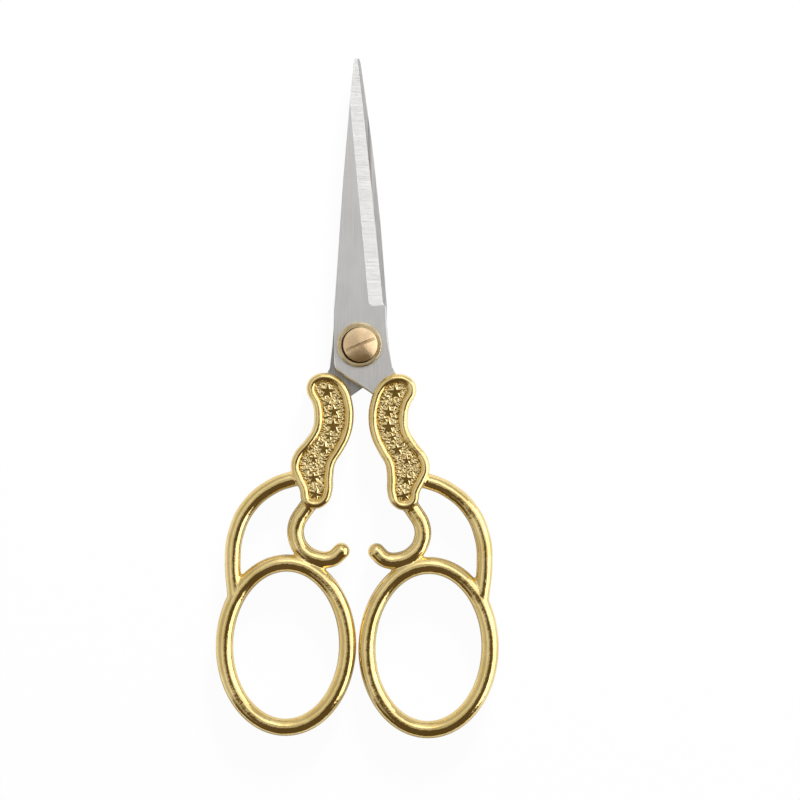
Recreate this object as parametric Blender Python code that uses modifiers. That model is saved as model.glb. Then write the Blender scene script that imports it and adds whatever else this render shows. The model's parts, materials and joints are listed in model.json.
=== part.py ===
"""Embroidery scissors with gilt bows, lying flat and closed.

Two stamped steel blades turn on a slotted brass screw with a brass washer under its head.
Each blade's tang is stepped down to the middle of its cast handle: a waisted panel with a
raised rim and a sunk ornamental field, a hooked wire, a side bow and an oval finger ring.

Units are metres. +Y runs from the rings to the blade tips, +X to the right as seen from the
front, +Z out of the front face. The pieces are drawn about the screw's axis, and the whole is
then set down with the middle of its box over the origin and its base at z = 0.
"""
import math

import bmesh
import bpy
from mathutils import Matrix, Vector

# Blades, measured from the screw's axis
BLADE_REACH = 0.05260
BLADE_THICKNESS = 0.00130
BLADE_GAP = 0.00016
RICASSO_EDGE_SIDE = 0.00482
RICASSO_SPINE_SIDE = 0.00489
SHOULDER_FLARE = 0.00036
CHOIL_HEIGHT = 0.00720
CHOIL_STEP = 0.00054
TIP_WIDTH = 0.00080
TIP_ROUNDING = 0.00080
EDGE_BELLY = 0.00014
EDGE_LAND = 0.00008
GRIND_WIDTH = 0.00262
GRIND_TAPER = math.radians(0.6)
GRIND_CORNER = 0.00090
HOLLOW_WIDTH = 0.00552
HOLLOW_DEPTH = 0.00008

# The spines are ground by hand, the back one left fuller, and the blades stand not quite upright
FRONT_SPINE = 0.00467
FRONT_BELLY = 0.00023
FRONT_LEAN = math.radians(0.97)
BACK_SPINE = 0.00486
BACK_BELLY = 0.00054
BACK_LEAN = math.radians(0.46)

# Tail and tang, which carry a blade down into its handle
TAIL_ANGLE = math.radians(34.7)
TAIL_CLEARANCE = 0.00085
TAIL_CORNER = 0.00200
TANG_WIDTH = 0.00250
TANG_END_WIDTH = 0.00180
TANG_REACH = 0.00880
TANG_THICKNESS = 0.00110
JOGGLE_START = 0.00070
JOGGLE_RUN = 0.00100
SOCKET_CLEARANCE = 0.00025

# Handle panel: PANEL_SHAPE gives the middle of its rim as shares of the width and length below
PIVOT_TO_PANEL = 0.00605
PANEL_LENGTH = 0.02330
PANEL_WIDTH = 0.00970
PANEL_INSET = 0.00220
PANEL_THICKNESS = 0.00420
RIM_WIDTH = 0.00165
FIELD_DEPTH = 0.00075
PANEL_SHAPE = (
    (0.46, 0.000), (0.26, 0.026), (0.11, 0.100), (0.03, 0.195), (0.00, 0.310), (0.06, 0.455),
    (0.20, 0.573), (0.33, 0.667), (0.37, 0.780), (0.38, 0.895), (0.46, 0.972), (0.63, 1.000),
    (0.78, 0.968), (0.82, 0.885), (0.92, 0.796), (1.00, 0.710), (0.95, 0.620), (0.77, 0.526),
    (0.60, 0.410), (0.57, 0.298), (0.62, 0.187), (0.72, 0.109), (0.71, 0.053), (0.62, 0.015),
)
HANDLE_LEAN = math.radians(-0.95)
HANDLE_SHIFT = 0.00030

# Wires of the handle and the oval finger ring. The two rings side by side give the overall width.
OVERALL_WIDTH = 0.05195
RING_WIRE = 0.00320
RING_HALF_HEIGHT = 0.01507
RING_GAP = 0.00035
RING_HALF_WIDTH = (OVERALL_WIDTH - RING_GAP) / 4 - RING_WIRE / 2
HOOK_WIRE = 0.00310
HOOK_DROP = 0.01090
HOOK_BULGE = 0.00225
HOOK_OVERLAP = 0.00065
HOOK_TIP_RUN = 0.00425
HOOK_TIP_RISE = 0.00150
BOW_WIRE = 0.00295
BOW_RING_ANGLE = math.radians(33.7)
BOW_SHAPE = ((0.43, 0.080), (0.81, 0.246), (1.015, 0.473), (1.055, 0.6875))

# Screw and washer
SCREW_SHANK = 0.00300
SCREW_HEAD = 0.00626
SCREW_HEAD_EDGE = 0.00045
SCREW_DOME = 0.00085
SCREW_END = 0.00420
SCREW_END_HEIGHT = 0.00035
SLOT_WIDTH = 0.00075
SLOT_DEPTH = 0.00070
SLOT_ANGLE = math.radians(23.6)
WASHER_DIAMETER = 0.00815
WASHER_THICKNESS = 0.00065
WASHER_ROUNDING = 0.00020
WASHER_SHIFT = 0.00020
HOLE_CLEARANCE = 0.00010
WASHER_HOLE_CLEARANCE = 0.00050
STACK_CLEARANCE = 0.00010

# Facets of the round forms
TURNED_STEPS = 36
RING_POINTS = 44
WIRE_SIDES = 4
WIRE_STEPS = 4
PANEL_STEPS = 3
WELD = 0.000002

GILT = (0.83, 0.62, 0.27)
STEEL = (0.62, 0.61, 0.60)
BRASS = (0.72, 0.52, 0.26)


def clear_scene():
    for old in list(bpy.data.objects):
        bpy.data.objects.remove(old, do_unlink=True)


def make_collection(name):
    group = bpy.data.collections.new(name)
    bpy.context.scene.collection.children.link(group)
    return group


def make_material(name, colour, roughness):
    material = bpy.data.materials.new(name)
    material.use_nodes = True
    shader = material.node_tree.nodes["Principled BSDF"]
    shader.inputs["Base Color"].default_value = (*colour, 1.0)
    shader.inputs["Metallic"].default_value = 1.0
    shader.inputs["Roughness"].default_value = roughness
    return material


def add_empty(name, group, parent=None, place=(0.0, 0.0, 0.0)):
    empty = bpy.data.objects.new(name, None)
    group.objects.link(empty)
    empty.parent = parent
    empty.location = place
    return empty


def add_piece(name, mesh, group, parent=None):
    piece = bpy.data.objects.new(name, mesh)
    group.objects.link(piece)
    piece.parent = parent
    return piece


def as_tool(piece):
    """Marks an object that only shapes its neighbours."""
    piece.hide_render = True
    piece.display_type = "WIRE"
    return piece


def cut(piece, tool, operation="DIFFERENCE"):
    modifier = piece.modifiers.new(tool.name, "BOOLEAN")
    modifier.operation = operation
    modifier.solver = "EXACT"
    modifier.object = tool


def smooth_shading(mesh):
    mesh.shade_smooth()
    mesh.set_sharp_from_angle(angle=math.radians(35))


def curve_to_mesh(curve_object):
    """Turns a curve into a closed mesh, with its caps welded on, and removes the curve."""
    view = bpy.context.evaluated_depsgraph_get()
    mesh = bpy.data.meshes.new_from_object(curve_object.evaluated_get(view))
    shape = bmesh.new()
    shape.from_mesh(mesh)
    bmesh.ops.remove_doubles(shape, verts=shape.verts, dist=WELD)
    bmesh.ops.recalc_face_normals(shape, faces=shape.faces)
    shape.to_mesh(mesh)
    shape.free()
    mesh.transform(curve_object.matrix_world)
    bpy.data.objects.remove(curve_object, do_unlink=True)
    return mesh


def new_curve(name, dimensions, steps=PANEL_STEPS):
    curve = bpy.data.curves.new(name, "CURVE")
    curve.dimensions = dimensions
    curve.resolution_u = steps
    curve.render_resolution_u = steps
    curve_object = bpy.data.objects.new(name, curve)
    bpy.context.scene.collection.objects.link(curve_object)
    return curve_object


def straight_spline(curve, points, closed):
    spline = curve.splines.new("POLY")
    spline.points.add(len(points) - 1)
    for knot, (x, y) in zip(spline.points, points):
        knot.co = (x, y, 0.0, 1.0)
    spline.use_cyclic_u = closed
    return spline


def flowing_spline(curve, points, closed, swell=None):
    spline = curve.splines.new("BEZIER")
    spline.bezier_points.add(len(points) - 1)
    for knot, (x, y) in zip(spline.bezier_points, points):
        knot.co = (x, y, 0.0)
        knot.handle_left_type = "AUTO"
        knot.handle_right_type = "AUTO"
    if swell:
        for knot, factor in zip(spline.bezier_points, swell):
            knot.radius = factor
    spline.use_cyclic_u = closed
    return spline


def plate_mesh(name, points, thickness, flowing=False, grow=0.0):
    """A flat outline with its thickness centred on z = 0."""
    curve_object = new_curve(name, "2D")
    curve = curve_object.data
    curve.fill_mode = "BOTH"
    curve.extrude = thickness / 2
    curve.offset = grow
    if flowing:
        flowing_spline(curve, points, closed=True)
    else:
        straight_spline(curve, points, closed=True)
    return curve_to_mesh(curve_object)


def wire_mesh(name, points, diameter, swell=None, closed=False):
    """A round wire along a path in the plane z = 0."""
    curve_object = new_curve(name, "3D", WIRE_STEPS)
    curve = curve_object.data
    curve.bevel_depth = diameter / 2
    curve.bevel_resolution = WIRE_SIDES
    curve.use_fill_caps = True
    if closed:
        straight_spline(curve, points, closed=True)
    else:
        flowing_spline(curve, points, closed=False, swell=swell)
    mesh = curve_to_mesh(curve_object)
    smooth_shading(mesh)
    return mesh


def turned_piece(name, profile, group, parent):
    """Turns a profile of (radius, height) points, listed from the top down, round the Z axis."""
    mesh = bpy.data.meshes.new(name)
    shape = bmesh.new()
    corners = [shape.verts.new((radius, 0.0, height)) for radius, height in profile]
    for upper, lower in zip(corners, corners[1:]):
        shape.edges.new((upper, lower))
    shape.to_mesh(mesh)
    shape.free()
    piece = add_piece(name, mesh, group, parent)
    turning = piece.modifiers.new("turning", "SCREW")
    turning.axis = "Z"
    turning.angle = math.tau
    turning.steps = TURNED_STEPS
    turning.render_steps = TURNED_STEPS
    turning.use_merge_vertices = True
    turning.merge_threshold = WELD
    turning.use_smooth_shade = True
    return piece


def arc_points(centre, radius, start, stop, steps):
    """Points on an arc, with angles counted from +X."""
    points = []
    for step in range(steps + 1):
        angle = start + (stop - start) * step / steps
        points.append((centre[0] + radius * math.cos(angle), centre[1] + radius * math.sin(angle)))
    return points


def rounded_corner(before, corner, after, radius, steps=4):
    """Replaces one corner of an outline by an arc tangent to both of its sides."""
    corner = Vector(corner)
    to_before = (Vector(before) - corner).normalized()
    to_after = (Vector(after) - corner).normalized()
    half_angle = to_before.angle(to_after) / 2
    reach = radius / math.tan(half_angle)
    centre = corner + (to_before + to_after).normalized() * radius / math.sin(half_angle)
    first = corner + to_before * reach - centre
    last = corner + to_after * reach - centre
    turn = first.angle_signed(last)
    points = []
    for step in range(steps + 1):
        spoke = first.copy()
        spoke.rotate(Matrix.Rotation(-turn * step / steps, 2))
        points.append(tuple(centre + spoke))
    return points


def panel_path():
    """The middle of the panel's rim, in the handle's own frame."""
    return [
        (PANEL_INSET + across * PANEL_WIDTH, -PIVOT_TO_PANEL - along * PANEL_LENGTH)
        for across, along in PANEL_SHAPE
    ]


class Half:
    """What sets one half of the scissors apart: its frames, and how its blade's spine is ground.

    The back half is drawn as the front half is, and turned over about its own centre line.
    """

    def __init__(self, side, spine, belly, lean, over):
        self.side = side
        self.spine = spine
        self.belly = belly
        self.blade_frame = Matrix.Rotation(lean, 4, "Z") @ Matrix.Rotation(over, 4, "Y")
        handle_place = Matrix.Translation((HANDLE_SHIFT, 0.0, 0.0)) @ Matrix.Rotation(HANDLE_LEAN, 4, "Z")
        self.handle_frame = handle_place @ Matrix.Rotation(over, 4, "Y")
        self.other_handle_frame = handle_place @ Matrix.Rotation(math.pi - over, 4, "Y")


FRONT = Half("front", FRONT_SPINE, FRONT_BELLY, FRONT_LEAN, over=0.0)
BACK = Half("back", BACK_SPINE, BACK_BELLY, BACK_LEAN, over=math.pi)


def tail_line(half):
    """How far the tail's lower side lies from the axis, clear of the other handle's rim."""
    outward = Vector((-math.sin(TAIL_ANGLE), -math.cos(TAIL_ANGLE), 0.0))
    to_blade = half.blade_frame.inverted() @ half.other_handle_frame
    nearest = min(outward.dot(to_blade @ Vector((x, y, 0.0))) for x, y in panel_path())
    return outward, nearest - RIM_WIDTH / 2 - TAIL_CLEARANCE


def on_tail_line(half, x):
    outward, distance = tail_line(half)
    return (x, (distance - outward.x * x) / outward.y)


def edge_at(height):
    """The cutting edge's distance from the blade's centre line at a height above the screw."""
    start = RICASSO_EDGE_SIDE - CHOIL_STEP
    share = (height - CHOIL_HEIGHT) / (BLADE_REACH - TIP_ROUNDING - CHOIL_HEIGHT)
    return start + (TIP_WIDTH / 2 - start) * share + EDGE_BELLY * math.sin(math.pi * share)


def waist():
    """The middle of the panel's waist, where the tang lies."""
    path = panel_path()
    narrow_inner = path[4]
    narrow_outer = path[19]
    return (narrow_inner[0] + narrow_outer[0]) / 2


def blade_outline(half):
    """A blade seen from its outer side, clockwise from its tip, in the blade's own frame."""
    tip_base = BLADE_REACH - TIP_ROUNDING
    edge_steps = 6
    edge = []
    for step in range(edge_steps + 1):
        height = tip_base + (CHOIL_HEIGHT + CHOIL_STEP - tip_base) * step / edge_steps
        edge.append((edge_at(height), height))
    choil = [
        (RICASSO_EDGE_SIDE - CHOIL_STEP / 2, CHOIL_HEIGHT),
        (RICASSO_EDGE_SIDE, CHOIL_HEIGHT - CHOIL_STEP / 2),
    ]

    panel_top = -PIVOT_TO_PANEL + RIM_WIDTH / 2
    middle = waist()
    tang_end = -PIVOT_TO_PANEL - TANG_REACH
    root_half = TANG_WIDTH * 0.75
    shoulder = [
        (RICASSO_EDGE_SIDE + SHOULDER_FLARE * 0.3, CHOIL_HEIGHT * 0.45),
        (RICASSO_EDGE_SIDE + SHOULDER_FLARE, 0.0),
        (RICASSO_EDGE_SIDE + SHOULDER_FLARE * 1.8, panel_top * 0.45),
        (RICASSO_EDGE_SIDE + SHOULDER_FLARE * 2.4, panel_top * 0.8),
        (middle + root_half * 0.7, panel_top),
        (middle + root_half, panel_top - RIM_WIDTH * 0.75),
    ]
    tang = [
        (middle + root_half, -PIVOT_TO_PANEL - TANG_REACH * 0.25),
        (middle + TANG_WIDTH / 2, -PIVOT_TO_PANEL - TANG_REACH * 0.55),
        (middle + TANG_END_WIDTH / 2, tang_end),
        (middle - TANG_END_WIDTH / 2, tang_end),
        (middle - TANG_WIDTH / 2, -PIVOT_TO_PANEL - TANG_REACH * 0.55),
        on_tail_line(half, middle - root_half),
    ]
    spine_low = (-RICASSO_SPINE_SIDE, 0.0)
    corner = on_tail_line(half, -RICASSO_SPINE_SIDE)
    tail = rounded_corner(on_tail_line(half, 0.0), corner, spine_low, TAIL_CORNER)
    spine = [spine_low]
    for step in range(edge_steps + 1):
        share = step / edge_steps
        across = half.spine + (TIP_WIDTH / 2 - half.spine) * share
        across += half.belly * math.sin(math.pi * share)
        spine.append((-across, CHOIL_HEIGHT + (tip_base - CHOIL_HEIGHT) * share))
    tip = [(-TIP_WIDTH / 6, BLADE_REACH), (TIP_WIDTH / 6, BLADE_REACH)]
    return edge + choil + shoulder + tang + tail + spine + tip


def blade_blank(name, half, clearance=0.0):
    """A blade's stamped blank, its tang stepped from the blade's level to the handle's middle.

    A clearance grows it all round, for the socket that it leaves in the handle.
    """
    blade_level = (BLADE_GAP + BLADE_THICKNESS) / 2
    mesh = plate_mesh(name, blade_outline(half), BLADE_THICKNESS, grow=clearance)
    shape = bmesh.new()
    shape.from_mesh(mesh)

    # The step runs along the handle's shoulder, between two parallel bends.
    path = panel_path()
    shoulder_high = Vector((*path[1], 0.0))
    shoulder_low = Vector((*path[2], 0.0))
    into_handle = (shoulder_low - shoulder_high).normalized()
    into_handle.rotate(Matrix.Rotation(math.pi / 2, 3, "Z"))
    skin = shoulder_high - into_handle * RIM_WIDTH / 2
    bends = (JOGGLE_START, JOGGLE_START + JOGGLE_RUN)
    for bend in bends:
        everything = shape.verts[:] + shape.edges[:] + shape.faces[:]
        bmesh.ops.bisect_plane(
            shape, geom=everything, dist=WELD, plane_co=skin + into_handle * bend, plane_no=into_handle
        )
    for corner in shape.verts:
        upper = corner.co.z > 0
        depth = into_handle.dot(corner.co - skin)
        share = min(max((depth - bends[0]) / JOGGLE_RUN, 0.0), 1.0)
        level = blade_level * (1 - share)
        rise = BLADE_THICKNESS / 2 * (1 - share) + TANG_THICKNESS / 2 * share + clearance
        corner.co.z = level + (rise if upper else -rise)
    shape.to_mesh(mesh)
    shape.free()
    return mesh


def grind_tool(group):
    """Takes the long bevel off the blade's outer face, as the grinding wheel does."""
    edge_low = Vector((edge_at(CHOIL_HEIGHT), CHOIL_HEIGHT, 0.0))
    edge_high = Vector((edge_at(BLADE_REACH - TIP_ROUNDING), BLADE_REACH - TIP_ROUNDING, 0.0))
    along = (edge_high - edge_low).normalized()
    length = BLADE_REACH * 1.2
    width = GRIND_WIDTH * 2
    height = BLADE_THICKNESS * 2
    corner = arc_points((GRIND_CORNER, GRIND_CORNER), GRIND_CORNER, math.pi, math.pi * 1.5, 5)
    outline = corner + [(width, 0.0), (width, length), (0.0, length)]
    mesh = plate_mesh("grind", outline, height)
    mesh.transform(Matrix.Translation((0.0, 0.0, height / 2)))
    fall = math.atan2(BLADE_THICKNESS - EDGE_LAND, GRIND_WIDTH)
    lean = math.atan2(-along.x, along.y) - GRIND_TAPER
    across = Vector((along.y, -along.x, 0.0))
    start = edge_low - across * GRIND_WIDTH
    start.z = BLADE_GAP / 2 + BLADE_THICKNESS
    mesh.transform(
        Matrix.Translation(start) @ Matrix.Rotation(lean, 4, "Z") @ Matrix.Rotation(fall, 4, "Y")
    )
    return as_tool(add_piece("grind", mesh, group))


def hollow_tool(group):
    """Takes a shallow hollow along the blade's inner face, so that only the edges meet."""
    half_chord = HOLLOW_WIDTH / 2
    radius = (half_chord ** 2 + HOLLOW_DEPTH ** 2) / (2 * HOLLOW_DEPTH)
    length = (BLADE_REACH - CHOIL_HEIGHT) * 0.75
    start = CHOIL_HEIGHT + CHOIL_STEP
    bpy.ops.mesh.primitive_cylinder_add(vertices=360, radius=radius, depth=length)
    tool = bpy.context.object
    tool.name = "hollow"
    tool.data.transform(
        Matrix.Translation((0.0, start + length / 2, BLADE_GAP / 2 + HOLLOW_DEPTH - radius))
        @ Matrix.Rotation(math.pi / 2, 4, "X")
    )
    move_to(tool, group)
    return as_tool(tool)


def move_to(piece, group):
    for old in list(piece.users_collection):
        old.objects.unlink(piece)
    group.objects.link(piece)


def screw_hole_tool(group):
    bpy.ops.mesh.primitive_cylinder_add(
        vertices=TURNED_STEPS, radius=SCREW_SHANK / 2 + HOLE_CLEARANCE, depth=BLADE_THICKNESS * 6
    )
    tool = bpy.context.object
    tool.name = "screw_hole"
    move_to(tool, group)
    return as_tool(tool)


def build_blade(half, group, tool_group, parent, finish):
    """A ground blade, with the wheel, the hollow and the drill that shape it in its own frame."""
    name = f"{half.side}_blade"
    piece = add_piece(name, blade_blank(name, half), group, parent)
    piece.matrix_basis = half.blade_frame
    for tool in (grind_tool(tool_group), hollow_tool(tool_group), screw_hole_tool(tool_group)):
        tool.name = f"{half.side}_{tool.name}"
        tool.parent = parent
        tool.matrix_basis = half.blade_frame
        cut(piece, tool)
    piece.data.materials.append(finish)
    return piece


def ring_centre():
    """The middle of the finger ring's oval, half a gap and a wire off the centre line."""
    top = -PIVOT_TO_PANEL - PANEL_LENGTH - HOOK_DROP
    return (RING_HALF_WIDTH + RING_WIRE / 2 + RING_GAP / 2, top - RING_HALF_HEIGHT)


def ring_point(angle, outward=0.0):
    """A point on the ring's oval, or a distance outside it."""
    centre = ring_centre()
    point = Vector((RING_HALF_WIDTH * math.cos(angle), RING_HALF_HEIGHT * math.sin(angle)))
    normal = Vector((RING_HALF_HEIGHT * math.cos(angle), RING_HALF_WIDTH * math.sin(angle)))
    point += normal.normalized() * outward
    return (centre[0] + point.x, centre[1] + point.y)


def hook_path():
    """From the panel's foot round in a C, along the top of the ring and up to a free end."""
    foot = (PANEL_INSET + PANEL_WIDTH * 0.64, -PIVOT_TO_PANEL - PANEL_LENGTH * 0.955)
    over_ring = (RING_WIRE + HOOK_WIRE) / 2 - HOOK_OVERLAP
    seat_high = ring_point(math.radians(101), over_ring + HOOK_OVERLAP * 0.3)
    seat_low = ring_point(math.radians(113), over_ring - HOOK_OVERLAP * 0.2)
    points = [foot]
    for share, bulge in ((0.22, 0.55), (0.50, 0.98), (0.77, 0.75)):
        x = foot[0] + (seat_high[0] - foot[0]) * share + HOOK_BULGE * bulge
        points.append((x, foot[1] + (seat_high[1] - foot[1]) * share))
    end = (seat_low[0] - HOOK_TIP_RUN, seat_low[1] + HOOK_TIP_RISE)
    bend = (seat_low[0] - HOOK_TIP_RUN * 0.62, seat_low[1] + HOOK_TIP_RISE * 0.08)
    return points + [seat_high, seat_low, bend, end]


def bow_path():
    """The side bow, from the panel's outer side to the ring's outer side."""
    start = (PANEL_INSET + PANEL_WIDTH * 0.90, -PIVOT_TO_PANEL - PANEL_LENGTH * 0.785)
    end = ring_point(BOW_RING_ANGLE)
    span = (end[0] - start[0], end[1] - start[1])
    middle = [(start[0] + span[0] * across, start[1] + span[1] * along) for across, along in BOW_SHAPE]
    return [start] + middle + [end]


def rim_section():
    """A stadium: the rim's width across, the panel's thickness up, its two faces half round."""
    radius = RIM_WIDTH / 2
    straight = PANEL_THICKNESS / 2 - radius
    top = arc_points((0.0, straight), radius, 0.0, math.pi, 6)
    bottom = arc_points((0.0, -straight), radius, math.pi, math.tau, 6)
    section = new_curve("rim_section", "2D")
    straight_spline(section.data, top + bottom, closed=True)
    return section


def rim_mesh(name):
    section = rim_section()
    rim = new_curve(name, "2D")
    rim.data.fill_mode = "NONE"
    rim.data.bevel_mode = "OBJECT"
    rim.data.bevel_object = section
    flowing_spline(rim.data, panel_path(), closed=True)
    mesh = curve_to_mesh(rim)
    bpy.data.objects.remove(section, do_unlink=True)
    smooth_shading(mesh)
    return mesh


def hook_end_mesh():
    """The ball that rounds off the hook's free end."""
    ball = bpy.data.meshes.new("hook_end")
    shape = bmesh.new()
    bmesh.ops.create_uvsphere(shape, u_segments=12, v_segments=8, radius=HOOK_WIRE / 2 * 1.02)
    end = hook_path()[-1]
    bmesh.ops.translate(shape, verts=shape.verts, vec=(end[0], end[1], 0.0))
    shape.to_mesh(ball)
    shape.free()
    smooth_shading(ball)
    return ball


def build_handle(name, half, group, tool_group, parent, finish):
    """A cast handle: rim, field, hook, bow and ring made one, and the tang's socket cut in it."""
    piece = add_piece(name, rim_mesh(name), group, parent)
    piece.matrix_basis = half.handle_frame
    ring = [ring_point(math.tau * step / RING_POINTS) for step in range(RING_POINTS)]
    buried = (PANEL_THICKNESS - 2 * FIELD_DEPTH) / HOOK_WIRE * 0.92
    limbs = {
        "field": plate_mesh("field", panel_path(), PANEL_THICKNESS - 2 * FIELD_DEPTH, flowing=True),
        "hook": wire_mesh("hook", hook_path(), HOOK_WIRE, swell=(buried, 1.12, 1.0, 1.0, 1.0, 1.0, 1.0, 1.0)),
        "hook_end": hook_end_mesh(),
        "bow": wire_mesh("bow", bow_path(), BOW_WIRE, swell=(buried, 1.0, 1.0, 1.0, 1.0, 1.0)),
        "ring": wire_mesh("ring", ring, RING_WIRE, closed=True),
    }
    for limb, mesh in limbs.items():
        tool = as_tool(add_piece(f"{name}_{limb}", mesh, tool_group, parent))
        tool.matrix_basis = half.handle_frame
        cut(piece, tool, "UNION")
    socket_mesh = blade_blank("socket", half, SOCKET_CLEARANCE)
    socket = add_piece(f"{name}_socket", socket_mesh, tool_group, parent)
    socket.matrix_basis = half.blade_frame
    cut(piece, as_tool(socket))
    piece.data.materials.append(finish)
    return piece


def build_screw(group, tool_group, parent, finish):
    """The pivot screw: a slotted dome, a shank through both blades, and its end peened over."""
    blade_face = BLADE_GAP / 2 + BLADE_THICKNESS
    seat = blade_face + WASHER_THICKNESS + 2 * STACK_CLEARANCE
    head_edge = seat + SCREW_HEAD_EDGE
    head_radius = SCREW_HEAD / 2
    dome_radius = (head_radius ** 2 + SCREW_DOME ** 2) / (2 * SCREW_DOME)
    dome_centre = head_edge + SCREW_DOME - dome_radius
    dome_steps = 6
    profile = []
    for step in range(dome_steps + 1):
        angle = math.asin(head_radius / dome_radius) * step / dome_steps
        profile.append((dome_radius * math.sin(angle), dome_centre + dome_radius * math.cos(angle)))
    shank = SCREW_SHANK / 2
    end_top = -blade_face - STACK_CLEARANCE
    end_edge = end_top - SCREW_END_HEIGHT / 2
    profile += [
        (head_radius, seat),
        (shank, seat),
        (shank, end_top),
        (SCREW_END / 2, end_top),
        (SCREW_END / 2, end_edge),
        (SCREW_END / 3, end_top - SCREW_END_HEIGHT),
        (0.0, end_top - SCREW_END_HEIGHT),
    ]
    piece = turned_piece("pivot_screw", profile, group, parent)

    bpy.ops.mesh.primitive_cube_add(size=1.0)
    slot = bpy.context.object
    slot.name = "screw_slot"
    slot.data.transform(
        Matrix.Rotation(SLOT_ANGLE, 4, "Z")
        @ Matrix.Translation((0.0, 0.0, head_edge + SCREW_DOME))
        @ Matrix.Diagonal((SCREW_HEAD * 1.5, SLOT_WIDTH, SLOT_DEPTH * 2, 1.0))
    )
    move_to(slot, tool_group)
    slot.parent = parent
    cut(piece, as_tool(slot))
    piece.data.materials.append(finish)
    return piece


def build_washer(group, parent, finish):
    """A turned brass washer with rounded rims, a little off centre round the shank."""
    bottom = BLADE_GAP / 2 + BLADE_THICKNESS + STACK_CLEARANCE
    top = bottom + WASHER_THICKNESS
    outer = WASHER_DIAMETER / 2
    inner = SCREW_SHANK / 2 + WASHER_HOLE_CLEARANCE
    flank = outer - WASHER_ROUNDING
    high = arc_points((flank, top - WASHER_ROUNDING), WASHER_ROUNDING, math.pi / 2, 0.0, 3)
    low = arc_points((flank, bottom + WASHER_ROUNDING), WASHER_ROUNDING, 0.0, -math.pi / 2, 3)
    profile = [(inner, top)] + high + low + [(inner, bottom), (inner, top)]
    piece = turned_piece("screw_washer", profile, group, parent)
    piece.location.x = -WASHER_SHIFT
    piece.data.materials.append(finish)
    return piece


def set_on_base(root, pieces):
    """Moves the whole so that its box stands on z = 0, centred over the origin."""
    view = bpy.context.evaluated_depsgraph_get()
    view.update()
    corners = []
    for piece in pieces:
        shown = piece.evaluated_get(view)
        corners += [piece.matrix_world @ vertex.co for vertex in shown.data.vertices]
    low = [min(corner[axis] for corner in corners) for axis in range(3)]
    high = [max(corner[axis] for corner in corners) for axis in range(3)]
    root.location = (-(low[0] + high[0]) / 2, -(low[1] + high[1]) / 2, -low[2])


def build():
    clear_scene()
    parts = make_collection("embroidery_scissors")
    tools = make_collection("cutters")
    gilt = make_material("gilt_casting", GILT, 0.22)
    steel = make_material("brushed_steel", STEEL, 0.35)
    brass = make_material("turned_brass", BRASS, 0.30)

    root = add_empty("scissors_root", parts)
    back_half = add_empty("back_half", parts, root)
    front_half = add_empty("front_half_on_screw_axis", parts, root)

    pieces = [
        build_blade(FRONT, parts, tools, front_half, steel),
        build_blade(BACK, parts, tools, back_half, steel),
        build_handle("right_handle", FRONT, parts, tools, front_half, gilt),
        build_handle("left_handle", BACK, parts, tools, back_half, gilt),
        build_screw(parts, tools, back_half, brass),
        build_washer(parts, back_half, brass),
    ]
    set_on_base(root, pieces)


build()
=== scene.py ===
"""The looks of the embroidery scissors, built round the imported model.

Two ground steel blades, two gilt cast handles with star panels, a brass screw and its washer.
Meshes are shaped in millimetres in the frame of the part they belong to, and set down in metres.
The camera looks straight down on the closed scissors, as a catalogue picture is taken.
"""
import json
import math

import bmesh
import bpy
from mathutils import Matrix, Vector, kdtree, noise


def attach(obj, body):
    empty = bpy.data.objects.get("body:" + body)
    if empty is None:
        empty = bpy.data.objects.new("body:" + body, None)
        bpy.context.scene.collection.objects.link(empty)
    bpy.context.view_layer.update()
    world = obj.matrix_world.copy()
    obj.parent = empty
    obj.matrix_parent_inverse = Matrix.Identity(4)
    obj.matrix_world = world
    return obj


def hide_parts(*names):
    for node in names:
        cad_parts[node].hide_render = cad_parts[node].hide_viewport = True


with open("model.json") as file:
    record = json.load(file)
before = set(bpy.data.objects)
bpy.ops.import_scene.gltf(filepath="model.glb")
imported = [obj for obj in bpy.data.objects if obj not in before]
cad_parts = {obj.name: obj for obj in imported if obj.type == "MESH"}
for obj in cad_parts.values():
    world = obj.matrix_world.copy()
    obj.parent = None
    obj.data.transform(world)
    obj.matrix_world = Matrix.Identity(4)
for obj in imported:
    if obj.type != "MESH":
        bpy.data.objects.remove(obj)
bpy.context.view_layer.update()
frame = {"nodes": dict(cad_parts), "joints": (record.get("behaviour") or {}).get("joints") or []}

# Blades. Two stampings of stainless steel, their flats brushed lengthwise and the long bevels
# ground bright across the edge on a wheel. Each is a merged copy of its solid, so it sits where
# the solid does, with the sharp arrises broken as a finisher does.
PER_METRE = 1000.0
PIVOT = Vector(frame["joints"][0]["pos_m"]) * PER_METRE
ARRIS = 0.07
WIDE_ARRIS = 0.34
OUTER_FACE = 1.38
RICASSO_SIDE = 3.9
RICASSO_REACH = (-4.4, 7.1)
TAIL_SIDE = 2.6
TAIL_TOP = -3.2
MERGE = 0.001
TOUCHING = 0.01
FLAT_JOIN = math.radians(1.2)
WORN_CORNER = math.radians(60)
SHARP_CORNER = math.radians(46)
BEVEL_TILT = (0.85, 0.96)
WORN_TILT = (0.60, 0.80)
TOWARDS_EDGE = 0.5
LEVEL = 0.99
FINE_DETAIL = 0.55
STREAK_SHARE = 0.6
STEEL_TONES = (0.30, 0.70)
BEVEL_TONES = (0.32, 0.68)
BRUSH_MARKS = (0.10, 9.0, 0.10)
BRUSH_CLOUDS = (2.6, 6.0, 2.6)
BRUSH_DEPTH = 0.020
BRUSH_ROUGHNESS = (0.36, 0.52)
WHEEL_MARKS = (6.0, 0.10, 6.0)
WHEEL_PASSES = (9.0, 0.30, 9.0)
WHEEL_DEPTH = 0.050
WHEEL_ROUGHNESS = (0.28, 0.42)
FLAT_GREY = (0.755, 0.750, 0.743, 1.0)
FLAT_PALE = (0.875, 0.869, 0.860, 1.0)
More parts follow.
